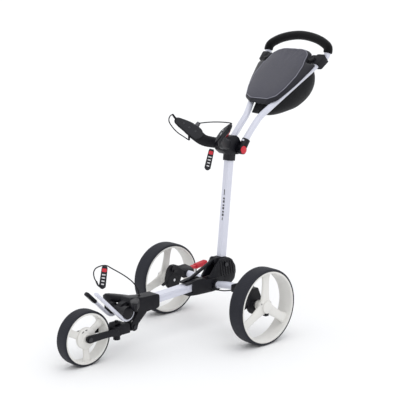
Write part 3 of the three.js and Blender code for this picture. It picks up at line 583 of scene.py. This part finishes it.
bm = bmesh.new()
mast = [on_upright(0, 0, q) for q in (28, 60, 150, 250, 350, 440, 474)]
sweep(bm, [(a / 1000, b / 1000) for a, b in superellipse(28, 32, 4.5, 48)], mast, Vector((0, 1, 0)))
piece(solid("upright_mast", bm, 50), "upright", LOOKS["white_paint"],
      ("upright_tube",))

LOOP_X, LOOP_Z, LOOP_LEAN = -473, 1044, math.radians(15)


def on_loop(up, y):
    """A place up the leaning grip loop."""
    return at(LOOP_X - up * math.sin(LOOP_LEAN), y, LOOP_Z + up * math.cos(LOOP_LEAN))


left_tube = [at(*p) for p in ((-136, 35.5, 722), (-190, 35.6, 782), (-222, 38, 814),
                              (-260, 54, 849), (-445, 143, 1018))]
left_loop = [on_loop(*p) for p in ((-6, 153), (12, 159), (34, 155), (56, 120), (72, 66))]


def right_side(points):
    return [Vector((p.x, -p.y, p.z)) for p in reversed(points)]


PER_STRETCH = 12
GRIP_FROM = 6
handle_points = route([*left_tube, *left_loop, on_loop(79, 0), *right_side(left_loop),
                       *right_side(left_tube)], PER_STRETCH)
piece(line("handle_frame", handle_points, 0.0125), "handle", LOOKS["white_paint"],
      ("handle_tube",))
grip = handle_points[GRIP_FROM * PER_STRETCH:len(handle_points) - GRIP_FROM * PER_STRETCH]
bm = bmesh.new()
rings = []
for k, point in enumerate(grip):
    ahead = (grip[min(k + 1, len(grip) - 1)] - grip[max(k - 1, 0)]).normalized()
    u = ahead.orthogonal().normalized() if k == 0 else (u - ahead * u.dot(ahead)).normalized()
    v = ahead.cross(u)
    from_end = min(k, len(grip) - 1 - k)
    radius = 0.018 - 0.0016 * max(0, 1 - from_end / 1.5) ** 2
    rings.append([point + (u * math.cos(t) + v * math.sin(t)) * radius
                  for t in (2 * math.pi * i / 40 for i in range(40))])
loft(bm, rings)
piece(solid("grip_sleeve", bm, 60), "handle", LOOKS["foam"], ("foam_grip",))


# ---------- console: moulded lid, flank, piping and net ----------
MIDDLE_S = 205
LID_RIM = [(64, 50), (84, 86), (141, 113), (191, 130), (256, 147), (284, 152), (284, 100),
           (334, 100), (349, 78), (356, 50)]
LID_CROWN = [(74, 46), (92, 80), (135, 99), (203, 112), (262, 109), (288, 100), (320, 95),
             (340, 75), (350, 44)]


def outline_of(half, count, inset=0.0, soften=2):
    """Points round an outline given by its left half, at even steps of direction."""
    corners = [*half, *[(s, -y) for s, y in reversed(half)]]
    radii = []
    for k in range(count):
        c, d = math.cos(2 * math.pi * k / count), math.sin(2 * math.pi * k / count)
        reach = 0.0
        for (s0, y0), (s1, y1) in zip(corners, [*corners[1:], corners[0]]):
            s0, s1 = s0 - MIDDLE_S, s1 - MIDDLE_S
            across = c * (y1 - y0) - d * (s1 - s0)
            if abs(across) < 1e-9:
                continue
            share = (d * s0 - c * y0) / across
            if 0 <= share <= 1:
                reach = max(reach, c * (s0 + (s1 - s0) * share) + d * (y0 + (y1 - y0) * share))
        radii.append(reach)
    for _ in range(soften):
        radii = [(radii[k - 1] + 2 * radii[k] + radii[(k + 1) % count]) / 4 for k in range(count)]
    return [Vector((MIDDLE_S + (r - inset) * math.cos(2 * math.pi * k / count),
                    (r - inset) * math.sin(2 * math.pi * k / count), 0))
            for k, r in enumerate(radii)]


def wrinkle(s, y):
    """Soft gathers of the fabric near the lid's upper edge, in millimetres."""
    near_top = max(0.0, min(1.0, (s - 255) / 70))
    return near_top * 1.6 * noise.noise(Vector((s / 38, y / 9, 0.7)))


AROUND = 240
rim_line = outline_of(LID_RIM, AROUND, 0, 3)
crown_line = outline_of(LID_CROWN, AROUND, 0, 2)
bm = bmesh.new()
rings = [[on_slope(*(rim + (Vector((MIDDLE_S, 0, 0)) - rim) * 0.05).xy, 14.2) for rim in rim_line],
         [on_slope(rim.x, rim.y, 14.4) for rim in rim_line],
         [on_slope(rim.x, rim.y, 16.2) for rim in rim_line]]
for share, height in ((0.06, 19.4), (0.25, 22.2), (0.5, 25), (0.75, 27.4), (0.96, 28.9)):
    ring = []
    for rim, crown in zip(rim_line, crown_line):
        place = rim.lerp(crown, share)
        ring.append(on_slope(place.x, place.y, height + 0.5 * wrinkle(place.x, place.y)))
    rings.append(ring)
loft(bm, rings, capped=False)
piece(solid("lid_flank", bm, 60), "lid", FLANK)

bm = bmesh.new()
rings = []
LID_RISE = [(-0.8, 27.6), (0.2, 29.2), (1.5, 30), (3, 30.2), (6, 31), (12, 32), (24, 33.4),
            (40, 34.4), (60, 35.1), (84, 35.5), (98, 35.6)]
for inset, height in LID_RISE:
    rings.append([on_slope(p.x, p.y, height + wrinkle(p.x, p.y))
                  for p in outline_of(LID_CROWN, AROUND, min(inset, 98), 2 + int(inset))])
loft(bm, rings)
piece(solid("lid_cover", bm, 60), "lid", LOOKS["console_skin"], ("console_lid",))

edge_line = [on_slope(p.x, p.y, 30.6 + wrinkle(p.x, p.y))
             for p in outline_of(LID_CROWN, AROUND, 1.6, 2)]
piece(line("lid_piping", [*edge_line, edge_line[0]], 0.0012), "lid", PIPING)

bm = bmesh.new()
for k, width in enumerate((5, 2.2, 3.4, 2.8, 3.4, 2.2)):
    start = -20 + 7.2 * k
    rings = []
    for lift in (29.8, 31.7):
        rings.append([on_slope(*spot, lift) for spot in (
            (84, start), (84, start + width), (90.5, start + width), (90.5, start))])
    loft(bm, rings)
piece(solid("lid_badge", bm), "lid", MARK_WHITE)

TRAY_EDGE = [(76, 44), (140, 66), (205, 88), (285, 116), (322, 88), (344, 42)]
bm = bmesh.new()
rings = []
for inset, height in ((0, 13.4), (-2.5, 9), (-2.5, 1), (0, -6), (4, -10)):
    rings.append([on_slope(p.x, p.y, height) for p in outline_of(TRAY_EDGE, 120, inset)])
for inset, height in ((8, -9), (6, 0), (6, 11)):
    rings.append([on_slope(p.x, p.y, height) for p in outline_of(TRAY_EDGE, 120, inset)])
loft(bm, rings, loop=True)
piece(solid("tray_wall", bm, 60), "handle", FLANK, ("console_tray",))

# the net at stations up the slope: distance up it, depth below the tray and half width
NET = [(33, 15, 33), (44, 32, 36), (60, 52, 41), (90, 77, 49), (125, 101, 58), (165, 124, 67),
       (205, 138, 73), (245, 144, 77), (285, 138, 78), (312, 119, 76), (328, 92, 70),
       (333, 62, 58), (331, 30, 46)]
bm = bmesh.new()
rings = []
for k in range(65):
    place = k / 64 * (len(NET) - 1)
    i = min(int(place), len(NET) - 2)
    before, here, after, last = (NET[max(i - 1, 0)], NET[i], NET[i + 1],
                                 NET[min(i + 2, len(NET) - 1)])
    t = place - i
    s, depth, width = (0.5 * (2 * b + (c - a) * t + (2 * a - 5 * b + 4 * c - d) * t ** 2
                              + (3 * b - a - 3 * c + d) * t ** 3)
                       for a, b, c, d in zip(before, here, after, last))
    ring = []
    for j in range(40):
        turn = math.pi * j / 39
        y = width * math.copysign(abs(math.cos(turn)) ** 0.55, math.cos(turn))
        n = -10.6 - (depth - 10.6) * math.sin(turn) ** 0.5
        sag = 2.2 * noise.noise(Vector((s / 60, y / 30, n / 45)))
        ring.append(on_slope(s, y + sag * 0.6, n + sag * math.sin(turn)))
    rings.append(ring)
loft(bm, rings)
net = piece(solid("storage_net", bm, 80), "handle", LOOKS["net"], ("console_net",))
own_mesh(net)

for name, side in SIDES:
    outwards = Vector((math.sin(SLOPE), 0, math.cos(SLOPE)))
    bm = bmesh.new()
    disc(bm, on_slope(305, side * 121, 20.3), outwards, 0.0125, 0.0094, 48, dome=-0.25)
    for k in range(24):
        t = 2 * math.pi * k / 24
        disc(bm, on_slope(305 + 12.1 * math.cos(t), side * 121 + 12.1 * math.sin(t), 21.5),
             outwards, 0.0010, 0.0070, 8)
    piece(solid(f"clamp_knob_{name}_dial", bm), f"clamp_knob_{name}", LOOKS["black_plastic"],
          (f"console_knob_{name}",))

# ---------- upper cradle: pads, screws and marks ----------
PAD_X = Vector((0.37, 0.84, 0.41)).normalized()
PAD_Y = Vector((-0.52, 0, 0.85)).cross(PAD_X).normalized()
PAD_Z = PAD_X.cross(PAD_Y)


def on_pad(u, w, out, side):
    """A place on a wing's pad: u along it, w up it and out of its front face."""
    local = Vector((118, 62, 503)) + PAD_X * u + PAD_Z * w - PAD_Y * (5.5 + out)
    return on_upright(local.x, side * local.y, local.z)


PAD_SHAPE = [(-24, -6), (-23, 6), (4, 21), (70, 16), (97, 11), (98, -9), (74, -15), (0, -27),
             (-16, -21)]
WING_STEPS = 8
# along a wing: its centre line's place, its height, its thickness and how far it leans back
WING = [(30, 18, 470, 40, 26, 0), (62, 32, 471, 42, 24, 0.05), (96, 50, 478, 44, 20, 0.3),
        (120, 68, 498, 50, 17, 0.85), (132.8, 95.6, 519.4, 50, 16, 1),
        (147.6, 129.2, 535.8, 37, 14, 1),
        (155.5, 147.1, 544.5, 25, 11, 1), (157.5, 151.5, 546.8, 13, 6, 1)]


def wing_ring(index, side, grow=0.0, back=0.0):
    """A cross-section of a wing, at a fractional station."""
    low = min(int(index), len(WING) - 2)
    share = index - low
    centre = WING_LINE[min(int(index * WING_STEPS + 0.5), len(WING_LINE) - 1)]
    ahead = WING_LINE[min(int(index * WING_STEPS + 1.5), len(WING_LINE) - 1)]
    behind = WING_LINE[max(int(index * WING_STEPS - 0.5), 0)]
    height, thick, lean = (a + (b - a) * share for a, b in zip(WING[low][3:], WING[low + 1][3:]))
    along = (ahead - behind).normalized()
    up = Vector((-0.52 * lean, 0, 1 - 0.15 * lean))
    up = (up - along * up.dot(along)).normalized()
    front = along.cross(up).normalized()
    ring = []
    for a, b in superellipse(height + 2 * grow, thick + 2 * grow, 3.4, 32):
        spot = centre + up * a + front * (b - (thick / 2 - 5.5) * min(1.0, index / 3) - back)
        ring.append(on_upright(spot.x, side * spot.y, spot.z))
    return ring


WING_LINE = route([Vector(entry[:3]) for entry in WING], WING_STEPS)
for name, side in SIDES:
    bm = bmesh.new()
    count = WING_STEPS * (len(WING) - 1)
    loft(bm, [wing_ring(k / WING_STEPS, side, -1.2 if k in (0, count) else 0)
              for k in range(count + 1)])
    for start in (3.2, 3.7, 4.2, 4.7, 5.2):
        loft(bm, [wing_ring(start + 0.12 * k, side, -2.5, 3.6) for k in range(3)])
    piece(solid(f"wing_{name}", bm, 45), "upright", LOOKS["black_plastic"],
          (f"bag_wing_{name}",))
    loop = [Vector((u, w, 0)) for u, w in PAD_SHAPE]
    closed = [loop[-1], *loop, loop[0], loop[1]]
    outline = []
    for a, b, c, d in zip(closed, closed[1:], closed[2:], closed[3:]):
        for i in range(5):
            t = i / 5
            outline.append(0.5 * (2 * b + (c - a) * t + (2 * a - 5 * b + 4 * c - d) * t ** 2
                                  + (3 * b - a - 3 * c + d) * t ** 3))
    middle = Vector((36, -2, 0))
    bm = bmesh.new()
    rings = []
    for scale, height in ((0.99, 0.1), (1, 1.6), (0.965, 2.6), (0.9, 2.9), (0.45, 2.9)):
        rings.append([on_pad(*(middle + (p - middle) * scale).xy, height, side) for p in outline])
    loft(bm, rings)
    piece(solid(f"wing_pad_{name}", bm), "upright", LOOKS["webbing"])
    bm = bmesh.new()
    face = on_pad(0, 0, 1, side) - on_pad(0, 0, 0, side)
    for u, w in ((66, 3), (38, 0), (8, 0)):
        disc(bm, on_pad(u, w, 2.7, side), face.normalized(), 0.0042, 0.0012, 20, dome=-0.5)
    piece(solid(f"wing_screws_{name}", bm), "upright", DARK_STEEL)


bm = bmesh.new()
loft(bm, [[on_pad(u, w, out, 1) for u, w in ((30, -13), (34, -13), (38, 12), (34, 12))]
          for out in (2.4, 3.3)])
loft(bm, [[on_pad(u, w, out, 1) for u, w in ((37, -13), (39, -13), (43, 12), (41, 12))]
          for out in (2.4, 3.3)])
piece(solid("wing_marks", bm), "upright", MARK_WHITE)


# ---------- what holds the cords' ends ----------
def peg(bm, points, radii, sides=20):
    """A round-sectioned, tapering moulding along a few points."""
    dense = route(points, 6)
    shares = [k / (len(dense) - 1) * (len(radii) - 1) for k in range(len(dense))]
    section = [(math.cos(2 * math.pi * k / sides), math.sin(2 * math.pi * k / sides))
               for k in range(sides)]
    rings = []
    for k, (spot, share) in enumerate(zip(dense, shares)):
        low = min(int(share), len(radii) - 2)
        radius = radii[low] + (radii[low + 1] - radii[low]) * (share - low)
        along = (dense[min(k + 1, len(dense) - 1)] - dense[max(k - 1, 0)]).normalized()
        side = along.cross(Vector((0.31, 0.23, 0.92))).normalized()
        up = side.cross(along)
        rings.append([spot + side * (a * radius / 1000) + up * (b * radius / 1000)
                      for a, b in section])
    loft(bm, rings)


bm = bmesh.new()
peg(bm, [on_upright(*p) for p in ((126, 103, 538), (119, 107, 547), (111, 108, 556))],
    (5.5, 4.2, 3.8))
peg(bm, [on_upright(*p) for p in ((150, -143, 543), (160, -151, 553), (168, -158, 566))],
    (6.5, 4.5, 3.6))
peg(bm, [on_upright(*p) for p in ((138, -87, 498), (143, -82, 486), (146, -78, 474))],
    (6, 4.4, 3.8))
piece(solid("cord_hooks", bm, 50), "upright", LOOKS["black_plastic"])
bm = bmesh.new()
peg(bm, [on_upright(*p) for p in ((112, -79, 526), (111, -74, 534), (110, -69, 542))],
    (8.5, 9, 7.5))
piece(solid("cord_lock", bm, 50), "upright", LOCK_GREY)


bm = bmesh.new()
peg(bm, [at(*p) for p in ((553, -16, 287), (548, -14, 274), (537, -9, 263))], (3.4, 3.2, 3.6))
piece(solid("cord_end_clip", bm, 50), "chassis", LOOKS["black_plastic"])


# ---------- lower cradle covers ----------
# centre line of a wing, its depth along X and its height
LOWER_WING = [(408, 20, 193, 34, 24), (420, 34, 193, 38, 27), (440, 58, 194, 36, 30),
              (455, 78, 195, 26, 30), (460, 88, 195.5, 14, 26), (461, 91, 195.6, 7, 18)]
wing_line = route([Vector(entry[:3]) for entry in LOWER_WING], 6)
for name, side in SIDES:
    bm = bmesh.new()
    rings = []
    for k, spot in enumerate(wing_line):
        low = min(k // 6, len(LOWER_WING) - 2)
        share = k / 6 - low
        depth, height = (a + (b - a) * share
                         for a, b in zip(LOWER_WING[low][3:], LOWER_WING[low + 1][3:]))
        along = (wing_line[min(k + 1, len(wing_line) - 1)] - wing_line[max(k - 1, 0)]).normalized()
        out = Vector((along.y, -along.x, 0)).normalized()
        rings.append([at(*(Vector((spot.x + out.x * a, side * (spot.y + out.y * a), spot.z + b))))
                      for a, b in superellipse(depth, height, 3.2, 32)])
    loft(bm, rings)
    piece(solid(f"lower_wing_cover_{name}", bm, 45), "chassis", LOOKS["black_plastic"])

# ---------- brake pedal's ribbed pad ----------
bm = bmesh.new()
for x0, x1, grow in [(-121, -62, 0)] + [(-116 + 9 * k, -112.5 + 9 * k, 1.6) for k in range(6)]:
    rings = []
    for x in (x0, x0 + 1.2, x1 - 1.2, x1):
        edge = 1.5 if x in (x0, x1) and not grow else 0
        middle_z = 201 + 8 * (-60 - x) / 60
        rings.append([at(x, -164.5 + a * 1000, middle_z + b * 1000) for a, b in superellipse(
            (25 + grow - edge) / 1000, (19 + grow - edge) / 1000, 3.6, 28)])
    loft(bm, rings)
piece(solid("pedal_pad", bm, 45), "pedal", LOOKS["red_plastic"])

# ---------- marks on the mast ----------
MARKS_START, MARKS_PITCH = 188, 13
bm = bmesh.new()
for low, high, inner, outer in ((270, 292, 3.2, 6.8), (171, 182, 3.2, 6.8)):
    loft(bm, [[on_upright(depth, y, q) for y, q in (
        (inner, low), (outer, low), (outer, high), (inner, high))] for depth in (15.6, 16.5)])
for k, size in enumerate((9, 7, 9, 6, 9, 7)):
    low = MARKS_START + MARKS_PITCH * k
    loft(bm, [[on_upright(depth, y, q) for y, q in (
        (1.2, low), (9.6, low), (9.6, low + size), (1.2, low + size))] for depth in (15.6, 16.5)])
piece(solid("mast_marks", bm), "upright", PRINT_AND_SLOT_SHADE)

# ---------- pull tags ----------
def strap_tag(name, top, down, across, body, stands_for):
    """A moulded pull tag: a tapered strap with a red patch and plain pale bars."""
    out = across.cross(down).normalized()
    bm = bmesh.new()
    rings = []
    for k in range(25):
        t = k / 24
        width = (21 + 4 * t) * min(1.0, (4 * t + 0.75), (1 - t) * 7 + 0.35)
        thick = 4.2 - 0.8 * t
        section = superellipse(width / 1000, thick / 1000, 3.5, 24)
        rings.append([top + down * t * 0.084 + across * a + out * b for a, b in section])
    loft(bm, rings)
    piece(solid(f"{name}_strap", bm), body, LOOKS["webbing"], stands_for)
    red, white = bmesh.new(), bmesh.new()
    for face in (1, -1):
        bars = [(red, 0.17, 0.16, 0.017)] + [(white, 0.37 + 0.14 * i, 0.05, 0.013 - 0.001 * i)
                                             for i in range(4)]
        for mesh, t, height, width in bars:
            middle = top + down * t * 0.084 + out * face * 0.0020
            rings = [[middle + across * a + down * b + out * face * lift
                      for a, b in superellipse(width, height * 0.084, 6, 16)]
                     for lift in (-0.0008, 0.0004)]
            loft(mesh, rings)
    piece(solid(f"{name}_patch", red), body, LOOKS["red_plastic"])
    piece(solid(f"{name}_bars", white), body, MARK_WHITE)


strap_tag("lower_tag", at(526, 0, 341), Vector((0.102, -0.095, -0.99)).normalized(),
          Vector((0.724, -0.675, 0.139)).normalized(), "chassis", ("lower_pull_tag",))
strap_tag("upper_tag", on_upright(68, -30, 445), Vector((0.19, -0.12, -0.97)).normalized(),
          Vector((0.70, -0.68, 0.22)).normalized(), "upright", ("upper_pull_tag",))


# ---------- floor and light ----------
bm = bmesh.new()
bmesh.ops.create_grid(bm, x_segments=8, y_segments=8, size=400)
floor = solid("floor", bm)
floor.data.materials.append(material("studio_floor", (0.93, 0.93, 0.93), 0.9, mottle=0.008,
                                     cloud=0.4, grain=30, specular=0.1))

world = bpy.data.worlds.new("studio")
world.use_nodes = True
world.node_tree.nodes["Background"].inputs["Color"].default_value = (0.97, 0.98, 1.0, 1)
world.node_tree.nodes["Background"].inputs["Strength"].default_value = 0.92
bpy.context.scene.world = world
bpy.context.scene.view_settings.view_transform = "Standard"


def sun(name, direction, angle, strength):
    """A broad, soft light that shines along a direction."""
    data = bpy.data.lights.new(name, "SUN")
    data.angle = math.radians(angle)
    data.energy = strength
    obj = bpy.data.objects.new(name, data)
    obj.rotation_mode = "QUATERNION"
    obj.rotation_quaternion = Vector(direction).to_track_quat("-Z", "Y")
    bpy.context.scene.collection.objects.link(obj)


sun("key", (-0.15, -0.55, -1), 50, 0.62)
sun("rim", (0.75, 0.35, -1), 60, 0.25)
